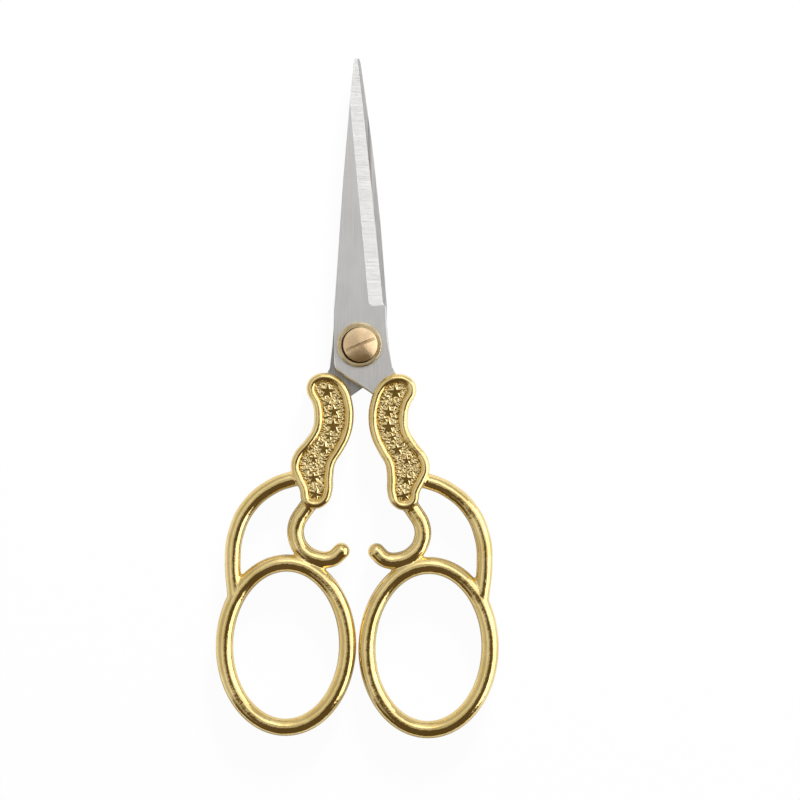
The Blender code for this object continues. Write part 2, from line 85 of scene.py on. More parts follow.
INNER_GREY = (0.630, 0.628, 0.625, 1.0)
INNER_PALE = (0.760, 0.757, 0.752, 1.0)
# Painted shade for the inner faces round the screw.
SHADE_GREY = (0.340, 0.334, 0.326, 1.0)
SHADE_PALE = (0.470, 0.462, 0.450, 1.0)
SHADE_FADE = (2.0, 9.0)
BEVEL_GREY = (0.480, 0.478, 0.475, 1.0)
BEVEL_PALE = (0.615, 0.612, 0.608, 1.0)


class Signal:
    """One output of a material's nodes. Arithmetic on it adds Math nodes."""

    def __init__(self, tree, output=None):
        self.tree = tree
        self.output = output

    def node(self, kind, settings=None, inputs=None, output=0):
        """Adds a node: its settings first, a ramp's stops among them, then its inputs."""
        made = self.tree.nodes.new("ShaderNode" + kind)
        for name, value in (settings or {}).items():
            if name == "stops":
                ramp = made.color_ramp.elements
                while len(ramp) < len(value):
                    ramp.new(1.0)
                for stop, (place, colour) in zip(ramp, value):
                    stop.position = place
                    stop.color = colour
            else:
                setattr(made, name, value)
        for name, value in (inputs or {}).items():
            if isinstance(value, Signal):
                self.tree.links.new(value.output, made.inputs[name])
            else:
                made.inputs[name].default_value = value
        return Signal(self.tree, made.outputs[output])

    def maths(self, operation, *terms):
        return self.node("Math", {"operation": operation}, dict(enumerate(terms)))

    def vector(self, operation, inputs, output=0):
        return self.node("VectorMath", {"operation": operation}, {0: self, **inputs}, output)

    def __add__(self, other):
        return self.maths("ADD", self, other)

    def __radd__(self, other):
        return self.maths("ADD", other, self)

    def __sub__(self, other):
        return self.maths("SUBTRACT", self, other)

    def __rsub__(self, other):
        return self.maths("SUBTRACT", other, self)

    def __mul__(self, other):
        return self.maths("MULTIPLY", self, other)

    def __rmul__(self, other):
        return self.maths("MULTIPLY", other, self)

    def __truediv__(self, other):
        return self.maths("DIVIDE", self, other)

    def __rtruediv__(self, other):
        return self.maths("DIVIDE", other, self)

    def sine(self):
        return self.maths("SINE", self)

    def absolute(self):
        return self.maths("ABSOLUTE", self)

    def at_least(self, low):
        return self.maths("MAXIMUM", self, low)

    def span(self, low, high):
        """A signal from 0 to 1, drawn out to run from low to high."""
        return self * (high - low) + low

    def ease(self, low, high):
        """0 below low, 1 above high and a smooth rise between."""
        settings = {"interpolation_type": "SMOOTHSTEP"}
        inputs = {"Value": self, "From Min": low, "From Max": high}
        return self.node("MapRange", settings, inputs)

    def between(self, start, end):
        """The colour that lies this share of the way from start to end."""
        inputs = {"Factor": self, "A": start, "B": end}
        return self.node("Mix", {"data_type": "RGBA"}, inputs, "Result")


def new_metal(name):
    """A metal with no paint on it, its shader, and places on its pieces in millimetres."""
    metal = bpy.data.materials.new(name)
    metal.use_nodes = True
    shader = metal.node_tree.nodes["Principled BSDF"]
    shader.inputs["Metallic"].default_value = 1.0
    place = Signal(metal.node_tree).node("TexCoord", output="Object")
    return metal, shader, place.vector("SCALE", {"Scale": PER_METRE})


def feed(shader, **links):
    """Links each signal to the shader's socket of its name, with _ for a space."""
    for name, signal in links.items():
        signal.tree.links.new(signal.output, shader.inputs[name.replace("_", " ")])


def grained(place, size, detail):
    """Noise drawn out to the given size, in millimetres, along each axis."""
    stretched = place.node("Mapping", {"vector_type": "TEXTURE"}, {"Vector": place, "Scale": size})
    inputs = {"Vector": stretched, "Scale": 1.0, "Detail": detail, "Roughness": FINE_DETAIL}
    return place.node("TexNoise", {}, inputs)


def blended(first, second, share):
    """A share of the first signal, and the rest of the second."""
    return first * share + second * (1 - share)


def raised(height, strength, depth):
    """A bump whose relief is depth millimetres between 0 and 1."""
    inputs = {"Height": height, "Strength": strength, "Distance": depth / PER_METRE}
    return height.node("Bump", {}, inputs)


def brushed_flats():
    """The faces that show: fine streaks along the blade, and clouds where the belt pressed harder."""
    metal, shader, place = new_metal("brushed_steel")
    streaks = grained(place, BRUSH_MARKS, 3.0)
    clouds = grained(place, BRUSH_CLOUDS, 2.0)
    tone = blended(streaks, clouds, STREAK_SHARE)
    feed(
        shader,
        Base_Color=tone.ease(*STEEL_TONES).between(FLAT_GREY, FLAT_PALE),
        Roughness=streaks.span(*BRUSH_ROUGHNESS),
        Normal=raised(streaks, 1.0, BRUSH_DEPTH),
    )
    return metal


def inner_flats():
    """The faces that meet: ground flat towards the tips, and darkened round the screw with painted
    shade that fades out above it.
    """
    metal, shader, place = new_metal("inner_steel")
    streaks = grained(place, BRUSH_MARKS, 3.0)
    tone = streaks.ease(*STEEL_TONES)
    upwards = place.vector("DOT_PRODUCT", {1: (0.0, 1.0, 0.0)}, "Value") - PIVOT.y
    unshaded = upwards.ease(*SHADE_FADE)
    # Painted shade: a darker grey round the screw, fading out a few millimetres above it.
    shaded = tone.between(SHADE_GREY, SHADE_PALE)
    feed(
        shader,
        Base_Color=unshaded.between(shaded, tone.between(INNER_GREY, INNER_PALE)),
        Roughness=streaks.span(*BRUSH_ROUGHNESS),
        Normal=raised(streaks, 1.0, BRUSH_DEPTH),
    )
    return metal


def ground_bevels():
    """The bevels: close wheel marks square to the edge, in passes of unlike brightness."""
    metal, shader, place = new_metal("ground_steel")
    wheel = grained(place, WHEEL_MARKS, 3.0)
    passes = grained(place, WHEEL_PASSES, 2.0)
    tone = blended(wheel, passes, STREAK_SHARE)
    feed(
        shader,
        Base_Color=tone.ease(*BEVEL_TONES).between(BEVEL_GREY, BEVEL_PALE),
        Roughness=wheel.span(*WHEEL_ROUGHNESS),
        Normal=raised(wheel, 1.0, WHEEL_DEPTH),
    )
    return metal


def set_down(name, shape, placing=Matrix.Identity(4)):
    """Closes a shape drawn in millimetres, and sets it down in metres as a piece of its own."""
    bmesh.ops.recalc_face_normals(shape, faces=shape.faces)
    mesh = bpy.data.meshes.new(name)
    shape.to_mesh(mesh)
    shape.free()
    mesh.transform(Matrix.Scale(1 / PER_METRE, 4) @ placing)
    piece = bpy.data.objects.new(name, mesh)
    bpy.context.scene.collection.objects.link(piece)
    return piece


def broken(shape, arrises, width, segments):
    """Takes the sharpness off the given edges."""
    bmesh.ops.bevel(
        shape,
        geom=arrises,
        offset=width,
        offset_type="OFFSET",
        segments=segments,
        profile=0.5,
        affect="EDGES",
        clamp_overlap=True,
        material=-1,
    )


def corners_over(shape, angle):
    """The edges at which the surface turns by more than the angle."""
    return [edge for edge in shape.edges if edge.is_manifold and edge.calc_face_angle() > angle]


def eased_by_hand(edge, edge_side):
    """Whether an edge is the outer arris beside the screw, or the one along the tail's spine side."""
    corners = [corner.co - PIVOT for corner in edge.verts]
    if any(abs(abs(place.z) - OUTER_FACE) > TOUCHING for place in corners):
        return False
    low, high = RICASSO_REACH
    ricasso = all(place.x * edge_side > RICASSO_SIDE and low < place.y < high for place in corners)
    return ricasso or all(place.x * edge_side < TAIL_SIDE and place.y < TAIL_TOP for place in corners)


def polished_copy(node, name, body, metals, edge_side):
    """The blade's solid again, merged into clean faces, with its arrises broken."""
    shape = bmesh.new()
    shape.from_mesh(frame["nodes"][node].data)
    bmesh.ops.scale(shape, vec=(PER_METRE, PER_METRE, PER_METRE), verts=shape.verts)
    bmesh.ops.remove_doubles(shape, verts=shape.verts, dist=MERGE)
    bmesh.ops.dissolve_limit(
        shape, angle_limit=FLAT_JOIN, verts=shape.verts, edges=shape.edges, delimit={"NORMAL"}
    )
    worn = [edge for edge in corners_over(shape, WORN_CORNER) if eased_by_hand(edge, edge_side)]
    broken(shape, worn, WIDE_ARRIS, 1)
    broken(shape, corners_over(shape, SHARP_CORNER), ARRIS, 2)
    bmesh.ops.dissolve_degenerate(shape, dist=MERGE, edges=shape.edges)
    for face in shape.faces:
        tilt = abs(face.normal.z)
        eased = WORN_TILT[0] < tilt < WORN_TILT[1] and face.normal.x * edge_side > TOWARDS_EDGE
        if eased or BEVEL_TILT[0] < tilt < BEVEL_TILT[1]:
            face.material_index = 1
        elif face.normal.z * edge_side < -LEVEL:
            face.material_index = 2
    piece = set_down(name, shape)
    for metal in metals:
        piece.data.materials.append(metal)
    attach(piece, body)
    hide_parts(node)


steel = (brushed_flats(), ground_bevels(), inner_flats())
polished_copy("front_blade", "front_blade_ground", "front_half", steel, edge_side=1)
polished_copy("back_blade", "back_blade_ground", "back_half", steel, edge_side=-1)

# Handles. Each is one zinc casting, gold plated and polished: a waisted panel inside a half-round
# rim, a hooked wire that runs along the top of the finger ring to a free ball end, a side bow and
# the oval ring. The limbs are drawn one by one, then fused, and their joins eased as in the mould.
HANDLE_SHIFT = 0.30
HANDLE_LEAN = math.radians(-0.95)
PIVOT_TO_PANEL = 6.05
PANEL_LENGTH = 23.30
PANEL_WIDTH = 9.70
PANEL_INSET = 2.20
PANEL_THICKNESS = 4.20
RIM_WIDTH = 1.65
WEB_THICKNESS = 2.40
PANEL_SHAPE = (
    (0.46, 0.000), (0.26, 0.026), (0.11, 0.100), (0.03, 0.195), (0.00, 0.310), (0.06, 0.455),
    (0.20, 0.573), (0.33, 0.667), (0.37, 0.780), (0.38, 0.895), (0.46, 0.972), (0.63, 1.000),
    (0.78, 0.968), (0.82, 0.885), (0.92, 0.796), (1.00, 0.710), (0.95, 0.620), (0.77, 0.526),
    (0.60, 0.410), (0.57, 0.298), (0.62, 0.187), (0.72, 0.109), (0.71, 0.053), (0.62, 0.015),
)
RING_WIRE = 3.20
RING_HALF_WIDTH = 11.30
RING_HALF_HEIGHT = 15.07
RING_GAP = 0.35
HOOK_WIRE = 3.10
HOOK_DROP = 10.90
HOOK_BULGE = 2.25
HOOK_OVERLAP = 0.65
HOOK_TIP_RUN = 4.25
HOOK_TIP_RISE = 1.50
HOOK_FOOT = (0.64, 0.955)
HOOK_SEAT = (math.radians(101), math.radians(113))
HOOK_SHAPE = ((0.22, 0.55), (0.50, 0.98), (0.77, 0.75))
HOOK_SINK = (0.3, -0.2)
HOOK_TIP_BEND = (0.62, 0.08)
HOOK_BALL = 1.02
BALL_SEGMENTS = (32, 20)
BOW_WIRE = 2.95
BOW_FOOT = (0.90, 0.785)
BOW_RING_ANGLE = math.radians(33.7)
BOW_SHAPE = ((0.43, 0.080), (0.81, 0.246), (1.015, 0.473), (1.055, 0.6875))
LIMB_SIDES = 40
LIMB_SPACING = 0.40
CURVE_STEPS = 32
ROUNDING_ERROR = 1e-4
RING_STEPS = 220
CAST_GRAIN = (1.9, 1.9, 1.9)
PORES = (0.22, 0.22, 0.22)
RUBBING = (5.0, 5.0, 5.0)
CAST_SHARE = 0.85
RUBBED_SHARE = 0.6
GILT_TONES = (0.38, 0.62)
GILT_ROUGHNESS = 0.03
GILT_ROUGHENING = 0.05
GILT_UNEVENNESS = 0.075
SKIN = 0.19
SKIN_EASING = 6
EASING_FACTOR = 0.5
GOLD_PALE = (0.950, 0.745, 0.345, 1.0)
GOLD_DEEP = (0.800, 0.600, 0.235, 1.0)


def polished_gilt(name, pale, deep, unevenness):
    """Bright plating, thinner where it is rubbed, over the soft dents of the casting."""
    metal, shader, place = new_metal(name)
    cast = grained(place, CAST_GRAIN, 2.0)
    pores = grained(place, PORES, 2.0)
    rubbed = grained(place, RUBBING, 3.0)
    feed(
        shader,
        Base_Color=blended(rubbed, pores, RUBBED_SHARE).ease(*GILT_TONES).between(deep, pale),
        Roughness=(rubbed + pores) * GILT_ROUGHENING + GILT_ROUGHNESS,
        Normal=raised(blended(cast, pores, CAST_SHARE), 1.0, unevenness),
    )
    return metal


def on_panel(across, along):
    """A point placed by its shares of the panel's width and length, in the handle's own frame."""
    return (PANEL_INSET + across * PANEL_WIDTH, -PIVOT_TO_PANEL - along * PANEL_LENGTH)


def panel_path():
    """The middle of the panel's rim."""
    return [on_panel(across, along) for across, along in PANEL_SHAPE]


def ring_point(angle, outward=0.0):
    """A point on the finger ring's oval, or a distance outside it."""
    middle_x = RING_HALF_WIDTH + RING_WIRE / 2 + RING_GAP / 2
    middle_y = -PIVOT_TO_PANEL - PANEL_LENGTH - HOOK_DROP - RING_HALF_HEIGHT
    normal = Vector((RING_HALF_HEIGHT * math.cos(angle), RING_HALF_WIDTH * math.sin(angle)))
    normal.normalize()
    return (
        middle_x + RING_HALF_WIDTH * math.cos(angle) + normal.x * outward,
        middle_y + RING_HALF_HEIGHT * math.sin(angle) + normal.y * outward,
    )


def hook_path():
    """From the panel's foot round in a C, along the top of the ring and up to a free end."""
    foot = on_panel(*HOOK_FOOT)
    over_ring = (RING_WIRE + HOOK_WIRE) / 2 - HOOK_OVERLAP
    seat_high = ring_point(HOOK_SEAT[0], over_ring + HOOK_OVERLAP * HOOK_SINK[0])
    seat_low = ring_point(HOOK_SEAT[1], over_ring + HOOK_OVERLAP * HOOK_SINK[1])
    points = [foot]
    for share, bulge in HOOK_SHAPE:
        x = foot[0] + (seat_high[0] - foot[0]) * share + HOOK_BULGE * bulge
        points.append((x, foot[1] + (seat_high[1] - foot[1]) * share))
    end = (seat_low[0] - HOOK_TIP_RUN, seat_low[1] + HOOK_TIP_RISE)
    run, rise = HOOK_TIP_BEND
    bend = (seat_low[0] - HOOK_TIP_RUN * run, seat_low[1] + HOOK_TIP_RISE * rise)
    return points + [seat_high, seat_low, bend, end]


def bow_path():
    """The side bow, from the panel's outer side to the ring's outer side."""
    start = on_panel(*BOW_FOOT)
    end = ring_point(BOW_RING_ANGLE)
    span = (end[0] - start[0], end[1] - start[1])
    middle = [(start[0] + span[0] * across, start[1] + span[1] * along) for across, along in BOW_SHAPE]
    return [start] + middle + [end]


def flowing_line(points, closed):
    """Points set evenly along the smooth curve through the given ones."""
    curve = bpy.data.curves.new("flowing_line", "CURVE")
    curve.dimensions = "2D"
    curve.resolution_u = CURVE_STEPS
    spline = curve.splines.new("BEZIER")
    spline.bezier_points.add(len(points) - 1)
    for knot, (x, y) in zip(spline.bezier_points, points):
        knot.co = (x, y, 0.0)
        knot.handle_left_type = "AUTO"
        knot.handle_right_type = "AUTO"
    spline.use_cyclic_u = closed
    holder = bpy.data.objects.new("flowing_line", curve)
    bpy.context.scene.collection.objects.link(holder)
    view = bpy.context.evaluated_depsgraph_get()
    mesh = bpy.data.meshes.new_from_object(holder.evaluated_get(view))
    dense = [vertex.co.copy() for vertex in mesh.vertices]
    bpy.data.objects.remove(holder, do_unlink=True)
    bpy.data.curves.remove(curve)
    bpy.data.meshes.remove(mesh)
    if closed:
        dense.append(dense[0])
    length = sum((after - before).length for before, after in zip(dense, dense[1:]))
    gap = length / round(length / LIMB_SPACING)
    even = [dense[0]]
    travelled = 0.0
    for before, after in zip(dense, dense[1:]):
        step = (after - before).length
        while travelled + step >= gap * len(even) - ROUNDING_ERROR:
            even.append(before.lerp(after, (gap * len(even) - travelled) / step))
        travelled += step
    return even[:-1] if closed else even


def stations(path, closed, widths=None):
    """A frame at each point of a path: X to its left, Y up and Z along it, grown to its width."""
    frames = []
    last = len(path) - 1
    for index, point in enumerate(path):
        before = path[index - 1] if closed or index else path[0]
        after = path[(index + 1) % len(path)] if closed or index < last else path[last]
        along = (after - before).normalized()
        left = Vector((-along.y, along.x, 0.0))
        width = widths(index / last) if widths else 1.0
        axes = Matrix((left, Vector((0.0, 0.0, 1.0)), along)).transposed().to_4x4()
        frames.append(Matrix.Translation(point) @ axes @ Matrix.Scale(width, 4))
    return frames


def carried(shape, section, frames, closed):
    """Carries a closed section along the frames, and closes the limb on itself or with caps."""
    first = [edge for edge in shape.edges if all(corner in section for corner in edge.verts)]
    bmesh.ops.transform(shape, matrix=frames[0], verts=list(section))
    loop = first
    for before, after in zip(frames, frames[1:]):
        made = bmesh.ops.extrude_edge_only(shape, edges=loop)["geom"]
        corners = [item for item in made if isinstance(item, bmesh.types.BMVert)]
        fresh = set(corners)
        loop = [
            item
            for item in made
            if isinstance(item, bmesh.types.BMEdge) and all(corner in fresh for corner in item.verts)
        ]
        bmesh.ops.transform(shape, matrix=after @ before.inverted(), verts=corners)
    if closed:
        bmesh.ops.bridge_loops(shape, edges=loop + first)
    else:
        bmesh.ops.contextual_create(shape, geom=loop)
        bmesh.ops.contextual_create(shape, geom=first)


def round_section(shape, diameter):
    """The section of a wire."""
    made = bmesh.ops.create_circle(shape, segments=LIMB_SIDES, radius=diameter / 2)
    return set(made["verts"])


def rim_section(shape):
    """As thick as the panel, with its front and back half round."""
    section = round_section(shape, RIM_WIDTH)
    straight = PANEL_THICKNESS / 2 - RIM_WIDTH / 2
    for corner in section:
        corner.co.y += math.copysign(straight, corner.co.y)
    return section


def handle_shape():
    """All the limbs of the casting, overlapping, in the handle's own frame."""
    shape = bmesh.new()
    rim = flowing_line(panel_path(), closed=True)
    carried(shape, rim_section(shape), stations(rim, closed=True), closed=True)

    web = [shape.verts.new(point - Vector((0.0, 0.0, WEB_THICKNESS / 2))) for point in rim]
    floor = shape.faces.new(web)
    top = bmesh.ops.extrude_face_region(shape, geom=[floor])["geom"]
    lifted = [item for item in top if isinstance(item, bmesh.types.BMVert)]
    bmesh.ops.translate(shape, verts=lifted, vec=(0.0, 0.0, WEB_THICKNESS))

    hook = flowing_line(hook_path(), closed=False)
    carried(shape, round_section(shape, HOOK_WIRE), stations(hook, False), closed=False)
    around, down = BALL_SEGMENTS
    ball = bmesh.ops.create_uvsphere(
        shape, u_segments=around, v_segments=down, radius=HOOK_WIRE / 2 * HOOK_BALL
    )
    bmesh.ops.translate(shape, verts=ball["verts"], vec=hook[-1])

    bow = flowing_line(bow_path(), closed=False)
    carried(shape, round_section(shape, BOW_WIRE), stations(bow, False), closed=False)

    ring = [Vector((*ring_point(math.tau * step / RING_STEPS), 0.0)) for step in range(RING_STEPS)]
    carried(shape, round_section(shape, RING_WIRE), stations(ring, True), closed=True)
    return shape


def fused(piece):
    """Makes the overlapping limbs one skin, and eases the skin as polishing does."""
    skin = piece.modifiers.new("skin", "REMESH")
    skin.mode = "VOXEL"
    skin.voxel_size = SKIN
    easing = piece.modifiers.new("easing", "SMOOTH")
    easing.factor = EASING_FACTOR
    easing.iterations = SKIN_EASING
    view = bpy.context.evaluated_depsgraph_get()
    mesh = bpy.data.meshes.new_from_object(piece.evaluated_get(view))
    piece.modifiers.clear()
    rough = piece.data
    piece.data = mesh
    bpy.data.meshes.remove(rough)
    mesh.shade_smooth()


front_handle_frame = (
    Matrix.Translation(PIVOT)
    @ Matrix.Translation((HANDLE_SHIFT, 0.0, 0.0))
    @ Matrix.Rotation(HANDLE_LEAN, 4, "Z")
)
back_handle_frame = front_handle_frame @ Matrix.Rotation(math.pi, 4, "Y")
handles = (
    ("right_handle", "front_half", front_handle_frame),
    ("left_handle", "back_half", back_handle_frame),
)
casting = bpy.data.objects.new("casting", bpy.data.meshes.new("casting"))
bpy.context.scene.collection.objects.link(casting)
limbs = handle_shape()
bmesh.ops.recalc_face_normals(limbs, faces=limbs.faces)
limbs.to_mesh(casting.data)
limbs.free()
fused(casting)
casting.data.materials.append(
    polished_gilt("polished_gilt", GOLD_PALE, GOLD_DEEP, GILT_UNEVENNESS)
)
for node, body, placing in handles:
    mesh = casting.data.copy()
    mesh.transform(Matrix.Scale(1 / PER_METRE, 4) @ placing)
    mesh.name = node + "_casting"
    piece = bpy.data.objects.new(node + "_casting", mesh)
    bpy.context.scene.collection.objects.link(piece)
    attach(piece, body)
    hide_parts(node)
bpy.data.objects.remove(casting, do_unlink=True)

# Panel fields. The sunk ground inside each rim is punched all over with fine grains, and a row of
# flat five-pointed stars stands up out of it, with curls round some of them. They are cast with the
# handle and gilt with it, the stars' tops left dark, and both faces of each handle carry them.
GROUND_LEVEL = 1.38
GROUND_FOOT = 0.45
GROUND_CELL = 0.08
GRAIN = 0.36
GRAIN_HEIGHT = 0.31
GRAIN_STEEPNESS = 1.35
GRAIN_MEAN = 0.6
GRAIN_SPREAD = 0.5
TALL_GRAINS = 1.7
NOISE_SLICE = 7.0
ON_CUT = 1e-5
SPECKLE = (0.30, 0.30, 0.30)
SPECKLE_DEPTH = 0.03
SPECKLE_STRENGTH = 0.5
GROUND_TONES = (0.36, 0.56)
GROUND_ROUGHNESS = (0.12, 0.24)
STAR_POINTS = 5
STAR_WAIST = 0.47
STAR_SPREAD = 1.6
STAR_FOOT = 0.14
STAR_RISE = 0.15
STAR_SLOPE = 0.26
STAR_TOP = 0.95
STAR_UNEVENNESS = 0.02
CURL_WIRE = 0.34
CURL_STEPS = 22
CURL_SIDES = 10
CURL_END = 0.35
RAISED_UNEVENNESS = 0.04
STARS = (
    (0.412, 0.108, 1.20, 4), (0.400, 0.208, 0.62, 30), (0.286, 0.264, 0.98, -8),
    (0.292, 0.380, 1.22, 0), (0.370, 0.461, 0.66, 14), (0.460, 0.557, 0.96, 10),
    (0.648, 0.640, 0.72, 0), (0.648, 0.790, 0.98, -6), (0.610, 0.920, 0.98, 16),
    (0.215, 0.322, 0.50, 10), (0.590, 0.500, 0.46, 34),
)
CURLS = (
    (0.370, 0.461, 0.86, -50, 190), (0.648, 0.640, 0.92, -60, 150), (0.655, 0.712, 0.66, 150, 380),
    (0.835, 0.705, 0.44, -130, 170), (0.520, 0.165, 0.50, -80, 140), (0.500, 0.865, 0.46, 60, 280),
)
GROUND_DARK = (0.520, 0.360, 0.120, 1.0)
GROUND_PALE = (0.960, 0.790, 0.410, 1.0)
BORDER_START = 0.86
BORDER_END = 1.30
STAR_PALE = (0.290, 0.170, 0.036, 1.0)
STAR_DEEP = (0.220, 0.125, 0.024, 1.0)
RAISED_PALE = (0.980, 0.830, 0.470, 1.0)
RAISED_DEEP = (0.940, 0.770, 0.400, 1.0)


def ground_height(x, y):
    """The punched ground: rounded grains crowded together, some taller."""
    distances, _ = noise.voronoi(Vector((x, y, 0.0)) / GRAIN, distance_metric="DISTANCE")
    dome = 1.0 - min(distances[0] * GRAIN_STEEPNESS, 1.0) ** 2
    drift = noise.noise(Vector((x, y, NOISE_SLICE)) / (GRAIN * TALL_GRAINS))
    return GRAIN_HEIGHT * dome * (GRAIN_MEAN + GRAIN_SPREAD * drift)


def field_shape():
    """A slab cut to the middle of the rim, with its top raised into grains."""
    outline = flowing_line(panel_path(), closed=True)
    xs = [point.x for point in outline]
    ys = [point.y for point in outline]
    shape = bmesh.new()
    shade = shape.verts.layers.float.new("shade")
    shape.faces.new([shape.verts.new(point) for point in outline])
    for axis, low, high in ((0, min(xs), max(xs)), (1, min(ys), max(ys))):
        normal = Vector((1.0, 0.0, 0.0)) if axis == 0 else Vector((0.0, 1.0, 0.0))
        cuts = round((high - low) / GROUND_CELL)
        for cut in range(1, cuts):
            place = normal * (low + (high - low) * cut / cuts)
            everything = shape.verts[:] + shape.edges[:] + shape.faces[:]
            bmesh.ops.bisect_plane(
                shape, geom=everything, dist=ON_CUT, plane_co=place, plane_no=normal
            )
    top = bmesh.ops.extrude_face_region(shape, geom=shape.faces[:])["geom"]
    border = kdtree.KDTree(len(outline))
    for index, point in enumerate(outline):
        border.insert(point, index)
    border.balance()
    for item in top:
        if isinstance(item, bmesh.types.BMVert):
            inward = border.find((item.co.x, item.co.y, 0.0))[2]
            # The shade layer runs from 0 at the foot of the rim to 1 further in; the ground is painted
            # darker where it is low, as painted shade.
            item[shade] = min(max((inward - BORDER_START) / (BORDER_END - BORDER_START), 0.0), 1.0)
            item.co.z = GROUND_FOOT + ground_height(item.co.x, item.co.y)
    return shape


def add_star(shape, across, along, radius, turn):
    """A flat star on sloping sides, cast proud of the ground."""
    foot = radius + STAR_SLOPE * STAR_SPREAD
    made = bmesh.ops.create_circle(shape, segments=STAR_POINTS * 2, radius=foot, cap_ends=True)["verts"]
    for index, corner in enumerate(made):
        if index % 2:
            corner.co *= STAR_WAIST
    face = made[0].link_faces[0]
    middle = Matrix.Translation((*on_panel(across, along), 0.0))
    spun = middle @ Matrix.Rotation(math.radians(turn), 4, "Z")
    bmesh.ops.transform(shape, matrix=spun, verts=made)
    sides = bmesh.ops.extrude_face_region(shape, geom=[face])["geom"]
    lifted = [item for item in sides if isinstance(item, bmesh.types.BMVert)]
    bmesh.ops.translate(shape, verts=lifted, vec=(0.0, 0.0, GROUND_FOOT + STAR_FOOT))
    top = [item for item in sides if isinstance(item, bmesh.types.BMFace)]
    bmesh.ops.inset_region(shape, faces=top, thickness=STAR_SLOPE, depth=0.0)
    crest = {corner for face in top for corner in face.verts}
    bmesh.ops.translate(shape, verts=list(crest), vec=(0.0, 0.0, STAR_RISE))


def arc(middle, radius, start, stop, steps):
    """Points on an arc, with angles in degrees counted from the first axis."""
    turns = [math.radians(start + (stop - start) * step / steps) for step in range(steps + 1)]
    return [(middle[0] + radius * math.cos(t), middle[1] + radius * math.sin(t)) for t in turns]


def curl_width(share):
    """How thick a curl is at a share of its length: full at its middle, thin at its ends."""
    return CURL_END + (1 - CURL_END) * math.sin(math.pi * share)


def add_curl(shape, across, along, radius, start, stop):
    """A round tendril bent into an open ring."""
    bend = arc(on_panel(across, along), radius, start, stop, CURL_STEPS)
    path = [Vector((x, y, GROUND_FOOT + STAR_FOOT)) for x, y in bend]
    made = bmesh.ops.create_circle(shape, segments=CURL_SIDES, radius=CURL_WIRE / 2)["verts"]
    carried(shape, set(made), stations(path, False, curl_width), closed=False)


def ornament_shape():
    """The row of stars of one field, with the curls round some of them."""
    shape = bmesh.new()
    for across, along, radius, turn in STARS:
        add_star(shape, across, along, radius, turn)
    for across, along, radius, start, stop in CURLS:
        add_curl(shape, across, along, radius, start, stop)
    for face in shape.faces:
        face.material_index = 0 if abs(face.normal.z) > STAR_TOP else 1
    return shape


def gilt_ground():
    """Speckled plating, with painted shade all along the foot of the rim."""
    metal, shader, place = new_metal("gilt_ground")
    speckle = grained(place, SPECKLE, 2.0)
    # Darkens the ground towards the rim: painted shade.
    unshaded_field = place.node("Attribute", {"attribute_name": "shade"}, {}, "Fac")
    feed(
        shader,
        Base_Color=(speckle.ease(*GROUND_TONES) * unshaded_field).between(GROUND_DARK, GROUND_PALE),
        Roughness=speckle.span(*GROUND_ROUGHNESS),
        Normal=raised(speckle, SPECKLE_STRENGTH, SPECKLE_DEPTH),
    )
    return metal


ground_metal = gilt_ground()
star_metal = polished_gilt("star_gilt", STAR_PALE, STAR_DEEP, STAR_UNEVENNESS)
raised_metal = polished_gilt("raised_gilt", RAISED_PALE, RAISED_DEEP, RAISED_UNEVENNESS)
ground = field_shape()
stars = ornament_shape()
bmesh.ops.recalc_face_normals(stars, faces=stars.faces)
layers = (("ground", ground, [ground_metal]), ("stars", stars, [star_metal, raised_metal]))
sides = {"front": Matrix.Identity(4), "back": Matrix.Scale(-1.0, 4, (0.0, 0.0, 1.0))}
raise_field = Matrix.Translation((0.0, 0.0, GROUND_LEVEL - GROUND_FOOT))
for node, body, placing in handles:
    for side, turned_over in sides.items():
        for part, source, metals in layers:
            copy = source.copy()
            bmesh.ops.transform(copy, matrix=turned_over @ raise_field, verts=copy.verts)
            piece = set_down(f"{node}_{side}_{part}", copy, placing)
            for metal in metals:
                piece.data.materials.append(metal)
            if part == "ground":
                piece.data.shade_smooth()
            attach(piece, body)
ground.free()
stars.free()

# Pivot screw. Turned from brass bar, with a low domed head, a sawn slot and the marks of the
# lathe round its middle; the shank passes through both blades and its end is peened over behind.
# The slot's far wall is painted near black, as painted shade in the slot.
WASHER_THICKNESS = 0.65
STACK_CLEARANCE = 0.10
HEAD_SEAT = OUTER_FACE + WASHER_THICKNESS + 2 * STACK_CLEARANCE
SCREW_SHANK = 3.00
SCREW_HEAD = 6.26
SCREW_HEAD_EDGE = 0.45
SCREW_DOME = 0.83
SCREW_END = 4.20
SCREW_END_HEIGHT = 0.35
SLOT_WIDTH = 0.60
SLOT_DEPTH = 0.70
SLOT_ARRIS = 0.16
SLOT_ANGLE = math.radians(23.6)
FAR_WALL = -0.3
LIP_CORNER = math.radians(50)
TURNS = 128
DOME_STEPS = 16
PEEN_STEPS = 8
LATHE_MARKS = 0.16
LATHE_DEPTH = 0.017
LATHE_DRIFT = (0.9, 0.9, 0.9)
LATHE_WANDER = 1.5
TARNISH = (1.6, 1.6, 1.6)
BRASS_TONES = (0.30, 0.70)
TURNED_ROUGHNESS = (0.22, 0.34)
MATT_MARKS = (0.5, 0.5, 0.5)
MATT_SPREAD = 1.5
MATT_ROUGHNESS = (0.4, 0.6)
SMOOTH_OVER = math.radians(35)
BRASS_PALE = (0.960, 0.730, 0.450, 1.0)
BRASS_DEEP = (0.880, 0.630, 0.370, 1.0)
SAWN_BRASS = (0.640, 0.470, 0.265, 1.0)
# Near black, for the painted shade in the slot and in the washer's recess.
PAINTED_SHADE_BROWN = (0.060, 0.035, 0.018, 1.0)


